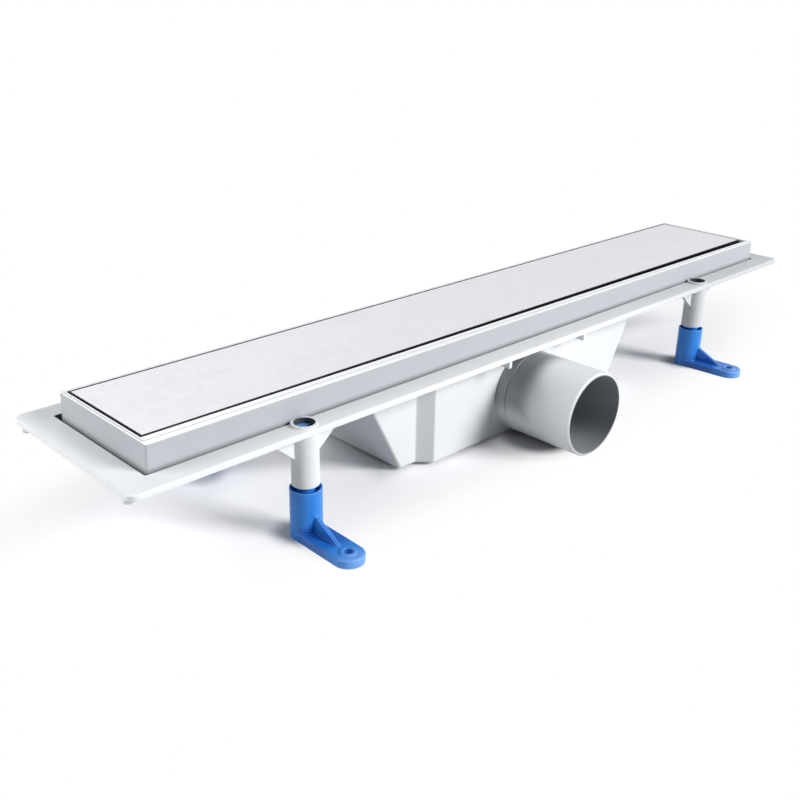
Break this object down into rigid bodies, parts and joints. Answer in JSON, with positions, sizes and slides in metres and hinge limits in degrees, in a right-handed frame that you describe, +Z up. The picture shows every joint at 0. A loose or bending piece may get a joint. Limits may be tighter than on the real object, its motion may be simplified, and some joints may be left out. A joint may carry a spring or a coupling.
{
  "type": "linear shower drain",
  "caption": "Linear shower drain with a flush white cover, moulded pan with a bonding flange, low water trap, side outlet spigot and screw-adjusted feet.",
  "frame": {"origin": "on the floor under the middle of the top frame, which is the bottom centre of the whole part's box", "axes": "+X along the drain, -Y towards the outlet spigot's mouth, +Z up"},
  "size_m": [0.549, 0.1768, 0.0734],
  "materials": {
    "grey_plastic": "satin",
    "frame_plastic": "satin",
    "white_glass": "opaque, back-coated white",
    "tray_steel": "mill",
    "insert_plastic": "satin",
    "strainer_steel": "brushed",
    "black_rubber": "matt",
    "blue_plastic": "moulded"
  },
  "bodies": {
    "drain": {"channel_pan": "grey_plastic", "trap_chamber": "grey_plastic", "top_frame": "frame_plastic", "cover_panel": "white_glass", "cover_tray": "tray_steel", "siphon_insert": "insert_plastic", "siphon_seal_ring": "black_rubber", "siphon_cup": "insert_plastic", "hair_strainer": "strainer_steel", "cover_pad_front_left": "black_rubber", "cover_pad_front_middle": "black_rubber", "cover_pad_front_right": "black_rubber", "cover_pad_back_left": "black_rubber", "cover_pad_back_middle": "black_rubber", "cover_pad_back_right": "black_rubber"},
    "screw_front_left": {"levelling_screw_front_left": "blue_plastic"},
    "foot_front_left": {"levelling_foot_front_left": "blue_plastic"},
    "screw_back_left": {"levelling_screw_back_left": "blue_plastic"},
    "foot_back_left": {"levelling_foot_back_left": "blue_plastic"},
    "screw_front_right": {"levelling_screw_front_right": "blue_plastic"},
    "foot_front_right": {"levelling_foot_front_right": "blue_plastic"},
    "screw_back_right": {"levelling_screw_back_right": "blue_plastic"},
    "foot_back_right": {"levelling_foot_back_right": "blue_plastic"}
  },
  "joints": [
    {"name": "screw_turn_front_left", "type": "hinge", "parent": "drain", "child": "screw_front_left", "pos_m": [-0.1772, -0.0442, 0.054], "axis": [0, 0, 1], "range_deg": [-135.1, 1620.1]},
    {"name": "foot_slide_front_left", "type": "slide", "parent": "drain", "child": "foot_front_left", "axis": [0, 0, -1], "range_m": [-0.0015, 0.018]},
    {"name": "screw_turn_back_left", "type": "hinge", "parent": "drain", "child": "screw_back_left", "pos_m": [-0.1772, 0.0482, 0.054], "axis": [0, 0, 1], "range_deg": [-135.1, 1620.1]},
    {"name": "foot_slide_back_left", "type": "slide", "parent": "drain", "child": "foot_back_left", "axis": [0, 0, -1], "range_m": [-0.0015, 0.018]},
    {"name": "screw_turn_front_right", "type": "hinge", "parent": "drain", "child": "screw_front_right", "pos_m": [0.1736, -0.0442, 0.054], "axis": [0, 0, 1], "range_deg": [-135.1, 1620.1]},
    {"name": "foot_slide_front_right", "type": "slide", "parent": "drain", "child": "foot_front_right", "axis": [0, 0, -1], "range_m": [-0.0015, 0.018]},
    {"name": "screw_turn_back_right", "type": "hinge", "parent": "drain", "child": "screw_back_right", "pos_m": [0.1736, 0.0482, 0.054], "axis": [0, 0, 1], "range_deg": [-135.1, 1620.1]},
    {"name": "foot_slide_back_right", "type": "slide", "parent": "drain", "child": "foot_back_right", "axis": [0, 0, -1], "range_m": [-0.0015, 0.018]}
  ],
  "couplings": [
    {"joint": "screw_turn_front_left", "follows": "foot_slide_front_left", "rad_per_m": 1570.8},
    {"joint": "screw_turn_back_left", "follows": "foot_slide_back_left", "rad_per_m": 1570.8},
    {"joint": "screw_turn_front_right", "follows": "foot_slide_front_right", "rad_per_m": 1570.8},
    {"joint": "screw_turn_back_right", "follows": "foot_slide_back_right", "rad_per_m": 1570.8}
  ]
}
